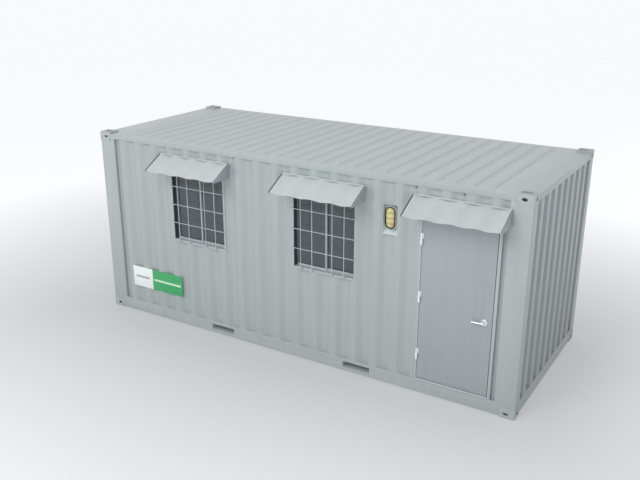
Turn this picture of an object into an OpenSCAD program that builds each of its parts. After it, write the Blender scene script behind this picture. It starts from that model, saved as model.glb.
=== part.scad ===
// Portable site cabin: a 20 ft steel freight box turned into a site office, with two
// barred sliding windows, a steel door, three corrugated awnings and a wall lamp.
// Millimetres. +X runs along the cabin, the door side faces -Y, +Z is up.
// The origin is the centre of the footprint, level with the feet of the four bottom castings.

/* [Overall] */
// Length over the corner castings
box_l = 6058; // [5700:1:7300]
// Width over the corner castings
box_w = 2438; // [2030:1:3000]
// Height over the corner castings
box_h = 2591; // [2560:1:3200]

/* [Corner castings] */
// Length of a casting along the cabin
cast_l = 178; // [170:1:200]
// Width of a casting across the cabin
cast_w = 162; // [155:1:190]
// Height of a casting
cast_h = 118; // [110:1:140]
// Thickness of the plate that carries the locking slot
cast_plate = 28.5; // [20:0.5:34]
// Thickness of the other casting walls
cast_wall = 14; // [10:1:16]
// Length of the top and bottom locking slots
slot_l = 124; // [110:1:130]
// Width of the top and bottom locking slots
slot_w = 63.5; // [50:0.5:66]
// Distance from the end of the cabin to a slot's centre
slot_from_end = 102.5; // [98:0.5:106]
// Distance from the side of the cabin to a slot's centre
slot_from_side = 89.5; // [85:0.5:92]
// Length of the lashing holes in the casting's outer faces
lash_l = 60; // [52:0.5:84]
// Height of the lashing holes
lash_h = 36; // [30:1:52]
// Distance of a lashing hole's edge from the plate that carries the locking slot
lash_edge = 9.5; // [1:0.5:12]
// How far the castings stand proud of the steel frame
cast_proud = 4; // [2:1:6]

/* [Steel frame] */
// Width of a corner post along the cabin
post_w = 240; // [200:1:270]
// Plate thickness of the posts and rails
plate_t = 6; // [4:0.5:8]
// Height of the underside of the bottom rails above the ground
rail_lift = 17; // [12:1:25]
// Height of the bottom rails
bottom_rail_h = 158; // [140:1:175]
// Width of the bottom rails' flanges
rail_flange = 48; // [46:1:60]
// How far the end rails' top flanges reach past the end walls
flange_margin = 2; // [1:1:8]
// Height of the top side rails
top_rail_h = 60; // [50:1:75]
// Height of the top end rails
header_h = 72; // [60:1:85]
// Depth of the top rails
top_rail_d = 60; // [56:1:75]
// Wall thickness of the top rails
top_rail_t = 3; // [3:0.5:5]
// How far the roof plates lie below the tops of the castings
roof_drop = 23; // [21:1:28]

/* [Corrugated sheet] */
// Thickness of the wall and roof sheet
sheet_t = 2; // [1.5:0.5:3]
// How far the wall crests lie inside the faces of the castings
crest_inset = 8; // [6:1:10]
// Depth of the side wall corrugation, sheet included
side_depth = 36; // [28:1:38]
// Pitch of the side wall corrugation
side_pitch = 278; // [240:1:320]
// Width of a side wall crest
side_crest = 72; // [60:1:84]
// Width of a side wall slope
side_slope = 68; // [40:1:72]
// Depth of the end wall corrugation, sheet included
end_depth = 45; // [36:1:48]
// Pitch of the end wall corrugation
end_pitch = 250; // [220:1:280]
// Width of an end wall crest
end_crest = 110; // [90:1:120]
// Width of an end wall slope
end_slope = 18; // [14:1:30]
// Pitch of the roof ribs
roof_pitch = 209; // [190:1:240]
// Width of a roof rib's crown
rib_crown = 77; // [60:1:90]
// Width of a roof rib's side slopes
rib_slope = 28; // [20:1:32]
// Height of the roof ribs
rib_h = 13; // [10:1:18]
// Flat margin between the roof's edge and the ends of the ribs
rib_margin = 78; // [60:1:120]
// Length of the roof ribs' sloped ends
rib_end = 60; // [40:1:80]
// Width of the flat roof plate at each end of the cabin
roof_end_w = 425; // [380:1:460]
// Thickness of the roof end plates
roof_end_t = 3; // [2:0.5:4]

/* [Floor and fork pockets] */
// Width of a fork pocket
pocket_w = 370; // [300:1:400]
// Height of a fork pocket
pocket_h = 75; // [60:1:80]
// Height of a fork pocket's floor above the ground
pocket_z = 58; // [50:1:64]
// Distance from the middle of the cabin to a pocket's centre
pocket_x = 1025; // [900:1:1100]
// Length of the strap plates under the ends of the pockets
pocket_strap = 200; // [120:1:300]
// Height of a floor bearer
bearer_h = 122; // [100:1:130]
// Flange width of a floor bearer
bearer_flange = 45; // [35:1:60]
// Wall thickness of a floor bearer
bearer_t = 4; // [3:0.5:6]
// Spacing of the floor bearers
bearer_pitch = 300; // [250:1:400]
// Gap between the bearers and the top flanges of the side rails
bearer_gap = 2; // [1:0.5:4]
// Thickness of the floor boards
floor_t = 28; // [21:1:30]

/* [Linings] */
// Thickness of the insulated wall lining
lining_t = 75; // [70:1:80]
// Thickness of the insulated ceiling lining
ceiling_t = 45; // [35:1:60]

/* [Windows] */
// Distance from the left end of the cabin to the left window's centre
left_window_end = 1664; // [1480:1:1700]
// Distance of the middle window's centre from the middle of the cabin
middle_window_x = 553; // [480:1:590]
// Width of the opening inside a window surround
window_w = 840; // [700:1:1010]
// Height of the opening inside a window surround
window_h = 960; // [800:1:1080]
// Height of a window opening's lower edge above the ground
window_sill = 1254; // [1100:1:1330]
// Width of a window surround's face
surround_face = 28; // [24:1:40]
// Depth of a window surround
surround_d = 121; // [118:1:126]
// Width of the aluminium window frame
window_frame_w = 8; // [6:1:24]
// Depth of the aluminium window frame
window_frame_d = 56; // [50:1:58]
// Distance from the surround's face back to the window frame
window_frame_back = 62; // [40:1:64]
// Width of a sash member
sash_w = 14; // [12:1:36]
// Depth of a sash member
sash_d = 22; // [18:1:24]
// Play between a sash and the middle of its track
track_play = 1; // [0.5:0.5:2]
// Thickness of the glass
glass_t = 5; // [4:1:6]

/* [Window grilles] */
// Thickness of a grille bar
bar_t = 8; // [6:1:14]
// Distance of the bars from the face of the surround
bar_standoff = 26; // [20:1:35]
// Spacing of the level bars
level_bar_pitch = 250; // [220:1:260]
// Distance of the inner upright bars from the window's centre
inner_bar_x = 140; // [120:1:160]
// Distance of the outer upright bars from the window's centre
outer_bar_x = 302; // [280:1:330]

/* [Awnings] */
// Width of an awning
awning_w = 1120; // [930:1:1345]
// Height of an awning's upper edge above the ground
awning_top = 2430; // [2410:1:2460]
// Height of an awning's lower edge above the ground
awning_low = 2254; // [2248:1:2280]
// How far an awning stands out from the wall crests
awning_out = 318; // [250:1:360]
// How far the left awning's centre lies left of its window's centre
left_awning_shift = 26; // [0:1:40]
// How far the middle awning's centre lies left of its window's centre
middle_awning_shift = 8; // [0:1:30]
// How far the door awning's centre lies left of the leaf's centre
door_awning_shift = 3; // [0:1:20]
// Height of the level lower edge of an awning's side cheeks
cheek_low = 2230; // [2224:1:2236]
// Depth of an awning sheet's corrugation, sheet included
awning_depth = 18; // [12:1:24]
// Width of an awning sheet's crest
awning_crest = 58; // [40:1:70]
// Width of an awning sheet's slope
awning_slope = 82; // [60:1:86]
// How far the side cheeks stand proud of an awning's sheet
awning_lip = 10; // [6:1:14]
// Width of the flat strip along an awning's upper edge
awning_strip = 30; // [20:1:40]

/* [Door] */
// Width of the flat wall strip between the door frame and the right corner post
door_strip = 53; // [30:1:80]
// Width of the door leaf
leaf_w = 860; // [715:1:1035]
// Thickness of the door leaf
leaf_t = 44; // [38:1:46]
// Height of the leaf's upper edge above the ground
leaf_top = 2215; // [2000:1:2220]
// How far the leaf's face lies behind the face of its frame
leaf_sink = 2; // [0:0.5:4]
// Clearance round the leaf at the hinged edge, head and sill
leaf_gap = 5; // [5:0.5:8]
// Clearance at the leaf's lock edge
lock_gap = 8; // [8:0.5:10]
// Width of the door frame's face
frame_face = 34; // [24:1:38]
// Width of the door frame's face on the lock side
lock_frame_face = 34; // [20:1:40]
// Depth of the door stop behind the leaf
stop_lap = 14; // [10:1:20]
// How far the door's threshold stands out of its frame
threshold_out = 12; // [6:1:20]
// Thickness of the door's threshold
threshold_t = 10; // [6:1:14]

/* [Door hinges] */
// Height of the lowest hinge's centre above the leaf's lower edge
hinge_low = 312; // [200:1:400]
// Height of the middle hinge's centre above the leaf's lower edge
hinge_mid = 1028; // [850:1:1150]
// Distance of the highest hinge's centre below the leaf's upper edge
hinge_high = 292; // [200:1:400]
// Height of a hinge
hinge_h = 135; // [110:1:150]
// Radius of a hinge knuckle
knuckle_r = 11; // [9:0.5:12]
// Radius of a hinge pin
pin_r = 6; // [4:0.5:7]
// Running clearance of the pin in its knuckle
pin_clear = 0.05; // [0.02:0.01:0.1]
// Gap between the two knuckles of a hinge
knuckle_gap = 1; // [0.5:0.5:2]
// Gap between a knuckle and the face of the door frame
knuckle_play = 2; // [1:0.5:4]
// Thickness of the closed top of an upper knuckle
knuckle_cap = 4; // [2:0.5:6]
// Gap above the end of a hinge pin
pin_gap = 4; // [1:0.5:6]
// Width of a hinge plate, from the pin's axis
hinge_plate_w = 20; // [16:1:26]
// Thickness of a hinge plate
hinge_plate_t = 3; // [2:0.5:4]

/* [Door handle] */
// Distance of the lever's turning axis from the lock edge of the leaf
handle_in = 87; // [60:1:120]
// Height of the lever's turning axis above the ground
handle_z = 1091; // [1000:1:1200]
// Radius of a handle rose
rose_r = 40; // [28:1:44]
// Thickness of a handle rose
rose_t = 9; // [6:1:12]
// Radius of the handle spindle
spindle_r = 8; // [6:0.5:10]
// Clearance of the spindle in the leaf
spindle_play = 2; // [1:0.5:4]
// Length of the lever
lever_l = 130; // [100:1:150]
// Radius of the lever
lever_r = 11; // [9:0.5:13]
// Distance of the lever from the leaf
lever_out = 48; // [40:1:60]

/* [Lamp] */
// Distance from the leaf's hinged edge to the lamp's centre
lamp_from_door = 405; // [390:1:420]
// Height of the lamp's centre above the ground
lamp_z = 2088; // [2070:1:2100]
// Width of the lamp over its guard
lamp_w = 140; // [130:1:150]
// Height of the lamp over its guard
lamp_h = 272; // [240:1:280]
// Distance from the wall crests back to the front edge of the lamp's body
lamp_rim = 12; // [5:1:20]
// Width of the rim of the lamp's body round its lens
lamp_edge = 11; // [7:1:14]
// Depth of the lens's seat in the lamp's body
lens_seat = 20; // [10:1:30]
// Thickness of the lens
lens_d = 52; // [35:1:60]
// Inside width of the niche
niche_w = 180; // [170:1:200]
// Height of the niche's upper edge above the ground
niche_top = 2244; // [2240:1:2260]
// Height of the niche's front lower edge above the ground
niche_low = 1892; // [1860:1:1900]
// How much the niche floor rises towards the back
niche_rise = 60; // [40:1:70]
// Depth of the niche
niche_d = 72; // [66:1:80]
// Sheet thickness of the niche
niche_t = 3; // [2:0.5:4]

/* [Sign] */
// Distance from the left end of the cabin to the sign's left edge
sign_end = 415; // [390:1:430]
// Width of the sign's white panel
white_sign_w = 362; // [300:1:400]
// Width of the sign's green panel
green_sign_w = 540; // [450:1:600]
// Height of the sign
sign_h = 300; // [240:1:340]
// Height of the sign's lower edge above the ground
sign_z = 406; // [380:1:450]
// Thickness of the sign panels
sign_t = 3; // [2:1:5]

/* [Hidden] */
$fn = 48;
// Overshoot of a cutting tool past the face it cuts
over = 1;

half_l = box_l / 2;
half_w = box_w / 2;
// Outer planes of the steel frame and of the wall crests
frame_x = half_l - cast_proud;
frame_y = half_w - cast_proud;
crest_x = half_l - crest_inset;
crest_y = half_w - crest_inset;
// Inner planes of the corrugated walls, which carry the linings
valley_x = crest_x - end_depth;
valley_y = crest_y - side_depth;
// Height of the lashing holes' centres in a bottom casting
lash_z = cast_plate + lash_h / 2 + lash_edge;
// Inner ends of the castings
cast_in_x = half_l - cast_l;
cast_in_y = half_w - cast_w;
// Edges of the posts that the walls butt against
post_in_x = frame_x - post_w;
post_in_y = cast_in_y;
rail_top = rail_lift + bottom_rail_h;
roof_z = box_h - roof_drop;
top_rail_z = roof_z - sheet_t - top_rail_h;
header_z = roof_z - sheet_t - header_h;
// Floor levels: the boards lie inside the top flanges of the bottom rails
bearer_z = rail_top - plate_t - bearer_h - bearer_gap;
floor_z = bearer_z + bearer_h;
floor_top = floor_z + floor_t;
ceiling_z = box_h - cast_h - ceiling_t;
lining_h = ceiling_z - floor_top;
// The end rails' top flanges reach under the whole depth of the end walls
end_rail_flange = max(rail_flange, frame_x - valley_x + flange_margin);
lining_out_y = valley_y;
lining_in_y = valley_y - lining_t;
lining_out_x = valley_x;
lining_in_x = valley_x - lining_t;
// Planes of the door frame and leaf, measured outwards from the middle of the cabin
leaf_face_y = frame_y - leaf_sink;
leaf_back_y = leaf_face_y - leaf_t;
leaf_bottom = floor_top + leaf_gap;
leaf_x = post_in_x - door_strip - lock_frame_face - lock_gap - leaf_w;
frame_in_left = leaf_x - leaf_gap;
frame_in_right = leaf_x + leaf_w + lock_gap;
frame_out_left = frame_in_left - frame_face;
frame_out_right = frame_in_right + lock_frame_face;
frame_head = leaf_top + leaf_gap;
frame_head_top = frame_head + frame_face;
// Hinge axis, proud of the leaf by the knuckle and a little play
pin_x = leaf_x - leaf_gap / 2;
pin_y = frame_y + knuckle_r + knuckle_play;
leaf_h = leaf_top - leaf_bottom;
hinge_zs = [leaf_bottom + hinge_low, leaf_bottom + hinge_mid, leaf_top - hinge_high];
knuckle_h = (hinge_h - knuckle_gap) / 2;
handle_x = leaf_x + leaf_w - handle_in;
// Places of the windows, the lamp and the sign
left_window_x = left_window_end - half_l;
lamp_x = leaf_x - lamp_from_door;
sign_x = sign_end - half_l;
// Window planes
surround_y = frame_y;
window_frame_y = surround_y - window_frame_back;
sash_track = window_frame_d / 2;
// Opening inside the aluminium frames
light_w = window_w - 2 * window_frame_w;
light_h = window_h - 2 * window_frame_w;
light_z = window_sill + window_frame_w;
// Opening of one sash, which covers half the width and half of the meeting stile
sash_light_w = (light_w + sash_w) / 2 - 2 * sash_w;
sash_light_h = light_h - 2 * sash_w;

// Left half of everything that is alike at both ends, or front half of what is alike
// at both sides, is drawn once and mirrored.
module both_ends() {
    children();
    mirror([1, 0, 0]) children();
}

module both_sides() {
    children();
    mirror([0, 1, 0]) children();
}

// A stadium-shaped slot of length l and width w along X, cut down through height h
module slot(l, w, h) {
    for (side = [-1, 1]) translate([side * (l - w) / 2, 0, 0]) cylinder(d = w, h = h);
    translate([-(l - w) / 2, -w / 2, 0]) cube([l - w, w, h]);
}

// Outline of a corrugated sheet, crests on the line y = 0 and valleys on y = depth.
// A valley is centred on x = 0. The sheet runs to at least half_span each way.
function corrugation(half_span, pitch, crest, slope, depth, t) =
    let (n = ceil(half_span / pitch) + 1,
         valley = pitch - crest - 2 * slope,
         lean = t * tan(atan2(depth - t, slope) / 2),
         corners = [for (i = [-n : n]) for (c = [
             [i * pitch - valley / 2 - slope, 0, -lean],
             [i * pitch - valley / 2, depth - t, -lean],
             [i * pitch + valley / 2, depth - t, lean],
             [i * pitch + valley / 2 + slope, 0, lean]]) c],
         last = len(corners) - 1)
    concat([for (c = corners) [c[0], c[1]]],
           [for (i = [last : -1 : 0]) [corners[i][0] + corners[i][2], corners[i][1] + t]]);

// Upright corrugated sheet with its crests at y = 0, between two x limits and two heights
module wall_sheet(x0, x1, z0, z1, pitch, crest, slope, depth) {
    span = max(abs(x0), abs(x1));
    intersection() {
        translate([0, 0, z0]) linear_extrude(z1 - z0)
            polygon(corrugation(span, pitch, crest, slope, depth, sheet_t));
        translate([x0, -over, z0]) cube([x1 - x0, depth + 2 * over, z1 - z0]);
    }
}

module side_sheet(x0, x1, z0, z1) {
    translate([0, -crest_y, 0])
        wall_sheet(x0, x1, z0, z1, side_pitch, side_crest, side_slope, side_depth);
}

// ---------------------------------------------------------------- corner castings

// One bottom casting at the right front corner, hollow, with a locking slot below
// and a lashing hole in each outer face
module corner_casting() {
    difference() {
        translate([cast_in_x, -half_w, 0]) cube([cast_l, cast_w, cast_h]);
        translate([cast_in_x + cast_wall, -half_w + cast_wall, cast_plate])
            cube([cast_l - 2 * cast_wall, cast_w - 2 * cast_wall, cast_h - cast_plate - cast_wall]);
        translate([half_l - slot_from_end, -half_w + slot_from_side, -over])
            slot(slot_l, slot_w, cast_plate + 2 * over);
        translate([half_l - slot_from_end, -half_w + cast_wall + over, lash_z])
            rotate([90, 0, 0]) slot(lash_l, lash_h, cast_wall + 2 * over);
        translate([half_l - cast_wall - over, -half_w + slot_from_side, lash_z])
            rotate([0, 0, 90]) rotate([90, 0, 0]) slot(lash_l, lash_h, cast_wall + 2 * over);
    }
}

module bottom_corner_castings() {
    color("#b1bcbf") both_ends() both_sides() corner_casting();
}

module top_corner_castings() {
    color("#b1bcbf") translate([0, 0, box_h]) mirror([0, 0, 1])
        both_ends() both_sides() corner_casting();
}

// ---------------------------------------------------------------- posts and rails

// A folded plate post at the right front corner. Its wide front face stands between the
// rails, and its narrow part between the castings. Its lips end at the linings.
module corner_post() {
    u1 = post_w;
    v1 = frame_y - cast_in_y;
    lip_u = frame_x - valley_x;
    lip_v = frame_y - valley_y;
    t = plate_t;
    difference() {
        translate([frame_x, -frame_y, cast_h]) mirror([1, 0, 0])
            linear_extrude(top_rail_z - cast_h)
                polygon([[0, 0], [u1, 0], [u1, lip_v], [u1 - t, lip_v], [u1 - t, t], [t, t],
                         [t, v1 - t], [lip_u, v1 - t], [lip_u, v1], [0, v1]]);
        translate([post_in_x - over, -half_w, cast_h - over])
            cube([cast_in_x - post_in_x + over, cast_w, rail_top - cast_h + over]);
        translate([cast_in_x, -half_w, box_h - cast_h]) cube([cast_l, 2 * cast_w, cast_h]);
    }
}

module corner_posts() {
    color("#aab5b8") both_ends() both_sides() corner_post();
}

// Channel rail under a side wall, open towards the middle, between the castings
module bottom_side_rail() {
    translate([-cast_in_x, -frame_y, rail_lift]) rotate([90, 0, 90]) linear_extrude(2 * cast_in_x)
        polygon([[0, 0], [rail_flange, 0], [rail_flange, plate_t], [plate_t, plate_t],
                 [plate_t, bottom_rail_h - plate_t], [rail_flange, bottom_rail_h - plate_t],
                 [rail_flange, bottom_rail_h], [0, bottom_rail_h]]);
}

// The fork pockets pass through the middle of the rail's web
module pocket_cuts() {
    both_ends() translate([pocket_x - pocket_w / 2, -half_w, pocket_z])
        cube([pocket_w, 2 * cast_proud + plate_t, pocket_h]);
}

module front_bottom_rail() {
    color("#a3afb2") difference() {
        bottom_side_rail();
        pocket_cuts();
    }
}

module back_bottom_rail() {
    color("#a3afb2") mirror([0, 1, 0]) difference() {
        bottom_side_rail();
        pocket_cuts();
    }
}

module end_bottom_rails() {
    color("#a3afb2") both_ends()
        translate([frame_x, cast_in_y, rail_lift]) rotate([90, 0, 0]) mirror([1, 0, 0])
            linear_extrude(2 * cast_in_y)
                polygon([[0, 0], [rail_flange, 0], [rail_flange, plate_t], [plate_t, plate_t],
                         [plate_t, bottom_rail_h - plate_t],
                         [end_rail_flange, bottom_rail_h - plate_t],
                         [end_rail_flange, bottom_rail_h], [0, bottom_rail_h]]);
}

// Square tube with its outer corner at the origin, run along X
module rail_tube(l, d, h) {
    difference() {
        cube([l, d, h]);
        translate([-over, top_rail_t, top_rail_t])
            cube([l + 2 * over, d - 2 * top_rail_t, h - 2 * top_rail_t]);
    }
}

module top_side_rails() {
    color("#aeb9bc") both_sides()
        translate([-cast_in_x, -frame_y, top_rail_z]) rail_tube(2 * cast_in_x, top_rail_d, top_rail_h);
}

module top_end_rails() {
    color("#9aa6a9") both_ends()
        translate([frame_x, -cast_in_y, header_z]) rotate([0, 0, 90])
            rail_tube(2 * cast_in_y, top_rail_d, header_h);
}

// ---------------------------------------------------------------- floor

// A tunnel for the forks: top plate, two side plates that carry the floor, and strap
// plates under both ends
module fork_pocket() {
    web_y = frame_y - plate_t;
    z0 = pocket_z - plate_t;
    for (side = [-1, 1])
        translate([pocket_x + side * (pocket_w + plate_t) / 2 - plate_t / 2, -web_y, z0])
            cube([plate_t, 2 * web_y, floor_z - z0]);
    translate([pocket_x - pocket_w / 2, -web_y, pocket_z + pocket_h])
        cube([pocket_w, 2 * web_y, plate_t]);
    both_sides() translate([pocket_x - pocket_w / 2, -web_y, z0])
        cube([pocket_w, pocket_strap, plate_t]);
}

module fork_pockets() {
    color("#98a3a6") both_ends() fork_pocket();
}

// Channels across the cabin, spaced evenly and left out where the pockets run
module floor_bearers() {
    reach = cast_in_x - bearer_flange;
    n = floor(reach / bearer_pitch);
    clear = pocket_w / 2 + plate_t + bearer_flange;
    web_y = frame_y - plate_t;
    color("#8d989b") for (i = [-n : n])
        if (abs(abs(i * bearer_pitch) - pocket_x) > clear)
            translate([i * bearer_pitch, web_y, bearer_z]) rotate([90, 0, 0])
                linear_extrude(2 * web_y)
                    polygon([[0, 0], [bearer_flange, 0], [bearer_flange, bearer_t],
                             [bearer_t, bearer_t], [bearer_t, bearer_h - bearer_t],
                             [bearer_flange, bearer_h - bearer_t], [bearer_flange, bearer_h],
                             [0, bearer_h]]);
}

module floor_boards() {
    y1 = frame_y - rail_flange;
    x1 = frame_x - end_rail_flange;
    color("#8a7a63") translate([-x1, -y1, floor_z]) cube([2 * x1, 2 * y1, floor_t]);
}

// ---------------------------------------------------------------- roof

// Trapezium of half widths wide and narrow that stands on a foot of the given height
module rib_outline(wide, narrow, foot) {
    polygon([[-wide, 0], [wide, 0], [wide, foot], [narrow, foot + rib_h],
             [-narrow, foot + rib_h], [-wide, foot]]);
}

// The row of raised ribs across the cabin, from height z up. Their sides are set in by
// the sheet's thickness where inset is sheet_t, for the hollow below the sheet.
module roof_ribs(z, foot, inset) {
    x1 = half_l - roof_end_w;
    y1 = frame_y - rib_margin - inset * tan(atan2(rib_h, rib_end) / 2);
    half = rib_crown / 2 - inset * tan(atan2(rib_h, rib_slope) / 2);
    n = floor((x1 - rib_crown / 2 - rib_slope) / roof_pitch);
    translate([0, 0, z]) intersection() {
        for (i = [-n : n]) translate([i * roof_pitch, frame_y, 0]) rotate([90, 0, 0])
            linear_extrude(2 * frame_y) rib_outline(half + rib_slope, half, foot);
        translate([-x1, 0, 0]) rotate([90, 0, 90]) linear_extrude(2 * x1)
            rib_outline(y1, y1 - rib_end, foot);
    }
}

module roof_sheet() {
    x1 = half_l - roof_end_w;
    base = roof_z - sheet_t;
    color("#b4bfc2") difference() {
        union() {
            translate([-x1, -frame_y, base]) cube([2 * x1, 2 * frame_y, sheet_t]);
            roof_ribs(base, sheet_t, 0);
        }
        roof_ribs(base - over, over, sheet_t);
    }
}

module roof_end_plates() {
    x0 = half_l - roof_end_w;
    color("#b4bfc2") both_ends() translate([0, 0, roof_z - sheet_t]) {
        translate([x0, -frame_y, 0]) cube([cast_in_x - x0, 2 * frame_y, roof_end_t]);
        translate([cast_in_x - over, -cast_in_y, 0])
            cube([frame_x - cast_in_x + over, 2 * cast_in_y, roof_end_t]);
    }
}

// ---------------------------------------------------------------- walls

// Block of the size of a window surround, to cut walls and linings
module window_cut(x) {
    translate([x - window_w / 2 - surround_face, -half_w, window_sill - surround_face])
        cube([window_w + 2 * surround_face, half_w, window_h + 2 * surround_face]);
}

// The welded wall sheet left of the door, with two window holes and the lamp's hole
module front_wall() {
    color("#aab4b6") difference() {
        side_sheet(-post_in_x, frame_out_left, rail_top, top_rail_z);
        window_cut(left_window_x);
        window_cut(middle_window_x);
        niche_block(over);
    }
}

module wall_over_door() {
    color("#aab4b6") side_sheet(frame_out_left, post_in_x, frame_head_top, top_rail_z);
}

// Flat filler strip between the door frame and the corner post, in a shallow recess
module wall_beside_door() {
    color("#a2acae") translate([frame_out_right, -valley_y - sheet_t, rail_top])
        cube([post_in_x - frame_out_right, sheet_t, frame_head_top - rail_top]);
}

module back_wall() {
    color("#aab4b6") mirror([0, 1, 0]) side_sheet(-post_in_x, post_in_x, rail_top, top_rail_z);
}

module end_wall() {
    translate([crest_x, 0, 0]) rotate([0, 0, 90])
        wall_sheet(-post_in_y, post_in_y, rail_top, header_z, end_pitch, end_crest, end_slope,
                   end_depth);
}

module left_end_wall() {
    color("#8a9597") mirror([1, 0, 0]) end_wall();
}

module right_end_wall() {
    color("#8a9597") end_wall();
}

// ---------------------------------------------------------------- linings

module front_lining() {
    color("#d8d8d2") difference() {
        translate([-lining_out_x, -lining_out_y, floor_top])
            cube([lining_out_x + frame_out_left, lining_t, lining_h]);
        window_cut(left_window_x);
        window_cut(middle_window_x);
        niche_block(over);
    }
}

module lining_over_door() {
    color("#d8d8d2") translate([frame_out_left, -lining_out_y, frame_head_top])
        cube([lining_out_x - frame_out_left, lining_t, ceiling_z - frame_head_top]);
}

module lining_beside_door() {
    color("#d8d8d2") translate([frame_out_right, -lining_out_y, floor_top])
        cube([lining_out_x - frame_out_right, lining_t, frame_head_top - floor_top]);
}

module back_lining() {
    color("#d8d8d2") translate([-lining_out_x, lining_in_y, floor_top])
        cube([2 * lining_out_x, lining_t, lining_h]);
}

module end_linings() {
    color("#d8d8d2") both_ends() translate([lining_in_x, -lining_in_y, floor_top])
        cube([lining_t, 2 * lining_in_y, lining_h]);
}

module ceiling_lining() {
    color("#e2e2dc") translate([-lining_out_x, -lining_out_y, ceiling_z])
        cube([2 * lining_out_x, 2 * lining_out_y, ceiling_t]);
}

// ---------------------------------------------------------------- windows

// A rectangular ring in the X-Z plane: opening w by h, members of width face, depth d.
// It starts at the plane y = 0 and runs back towards +Y.
module ring(w, h, face, d) {
    difference() {
        translate([-w / 2 - face, 0, -face]) cube([w + 2 * face, d, h + 2 * face]);
        translate([-w / 2, -over, 0]) cube([w, d + 2 * over, h]);
    }
}

module window_surround(x) {
    translate([x, -surround_y, window_sill]) ring(window_w, window_h, surround_face, surround_d);
}

module left_window_surround() {
    color("#b4bec0") window_surround(left_window_x);
}

module middle_window_surround() {
    color("#b4bec0") window_surround(middle_window_x);
}

module window_frames() {
    color("#c5cccd") for (x = [left_window_x, middle_window_x])
        translate([x, -window_frame_y, light_z]) ring(light_w, light_h, window_frame_w, window_frame_d);
}

// Place a child in one of the two sliding tracks: the left sash runs in front
module at_sash(x, side) {
    front = side < 0 ? sash_track - track_play - sash_d : sash_track + track_play;
    translate([x + side * (light_w - sash_light_w - 2 * sash_w) / 2, -window_frame_y + front,
               light_z + sash_w]) children();
}

module window_sashes() {
    color("#c5cccd") for (x = [left_window_x, middle_window_x]) for (side = [-1, 1])
        at_sash(x, side) ring(sash_light_w, sash_light_h, sash_w, sash_d);
}

module window_glass() {
    color("#3a4144") for (x = [left_window_x, middle_window_x]) for (side = [-1, 1])
        at_sash(x, side) translate([-sash_light_w / 2, (sash_d - glass_t) / 2, 0])
            cube([sash_light_w, glass_t, sash_light_h]);
}

// Welded grille of square bars. The ends of every bar turn back to the surround.
module window_grille(x) {
    level_l = window_w + surround_face;
    upright_h = window_h + surround_face;
    face_y = -surround_y - bar_standoff - bar_t;
    foot = bar_standoff + bar_t;
    z0 = window_sill - surround_face / 2;
    for (i = [1 : 3]) {
        z = window_sill + i * level_bar_pitch - bar_t / 2;
        translate([x - level_l / 2, face_y, z]) cube([level_l, bar_t, bar_t]);
        for (side = [-1, 1])
            translate([x + side * (level_l - bar_t) / 2 - bar_t / 2, face_y, z])
                cube([bar_t, foot, bar_t]);
    }
    for (bx = [-outer_bar_x, -inner_bar_x, inner_bar_x, outer_bar_x]) {
        translate([x + bx - bar_t / 2, face_y, z0]) cube([bar_t, bar_t, upright_h]);
        for (z = [z0, z0 + upright_h - bar_t])
            translate([x + bx - bar_t / 2, face_y, z]) cube([bar_t, foot, bar_t]);
    }
}

module left_window_grille() {
    color("#cfd6d8") window_grille(left_window_x);
}

module middle_window_grille() {
    color("#cfd6d8") window_grille(middle_window_x);
}

// ---------------------------------------------------------------- awnings

// A shallow corrugated sheet, tilted out below a flat strip, with a three-cornered cheek
// at each end. A crest runs down its middle.
module awning(x) {
    drop = awning_top - awning_low;
    tilt = atan2(awning_out, drop);
    slant = sqrt(awning_out * awning_out + drop * drop);
    inner_w = awning_w - 2 * sheet_t;
    translate([x, -crest_y, 0]) {
        intersection() {
            translate([0, 0, awning_top]) rotate([-tilt, 0, 0]) {
                translate([0, awning_lip, -slant]) linear_extrude(2 * slant) intersection() {
                    translate([side_pitch / 2, 0])
                        polygon(corrugation(awning_w, side_pitch, awning_crest, awning_slope,
                                            awning_depth, sheet_t));
                    translate([-inner_w / 2, 0]) square([inner_w, awning_depth]);
                }
                translate([-inner_w / 2, awning_lip - sheet_t, -awning_strip])
                    cube([inner_w, sheet_t, awning_strip]);
            }
            translate([-awning_w / 2, -awning_out - awning_depth, cheek_low])
                cube([awning_w, awning_out + awning_depth, box_h]);
        }
        both_ends() translate([awning_w / 2 - sheet_t, 0, 0]) rotate([90, 0, 90])
            linear_extrude(sheet_t)
                polygon([[0, awning_top], [0, cheek_low], [-awning_out, cheek_low],
                         [-awning_out, awning_low]]);
    }
}

module left_window_awning() {
    color("#c9d0d2") awning(left_window_x - left_awning_shift);
}

module middle_window_awning() {
    color("#c9d0d2") awning(middle_window_x - middle_awning_shift);
}

// The door awning's right cheek stands on the face of the corner post. Beside a wide leaf
// it stands on the head of the door frame instead.
module door_awning() {
    color("#c9d0d2") difference() {
        awning(leaf_x + leaf_w / 2 - door_awning_shift);
        translate([post_in_x, -frame_y, cheek_low - over]) cube([post_w, cast_w, box_h]);
        translate([frame_out_left, -frame_y, cheek_low - over])
            cube([frame_out_right - frame_out_left, cast_w, frame_head_top - cheek_low + over]);
    }
}

// ---------------------------------------------------------------- door

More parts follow.
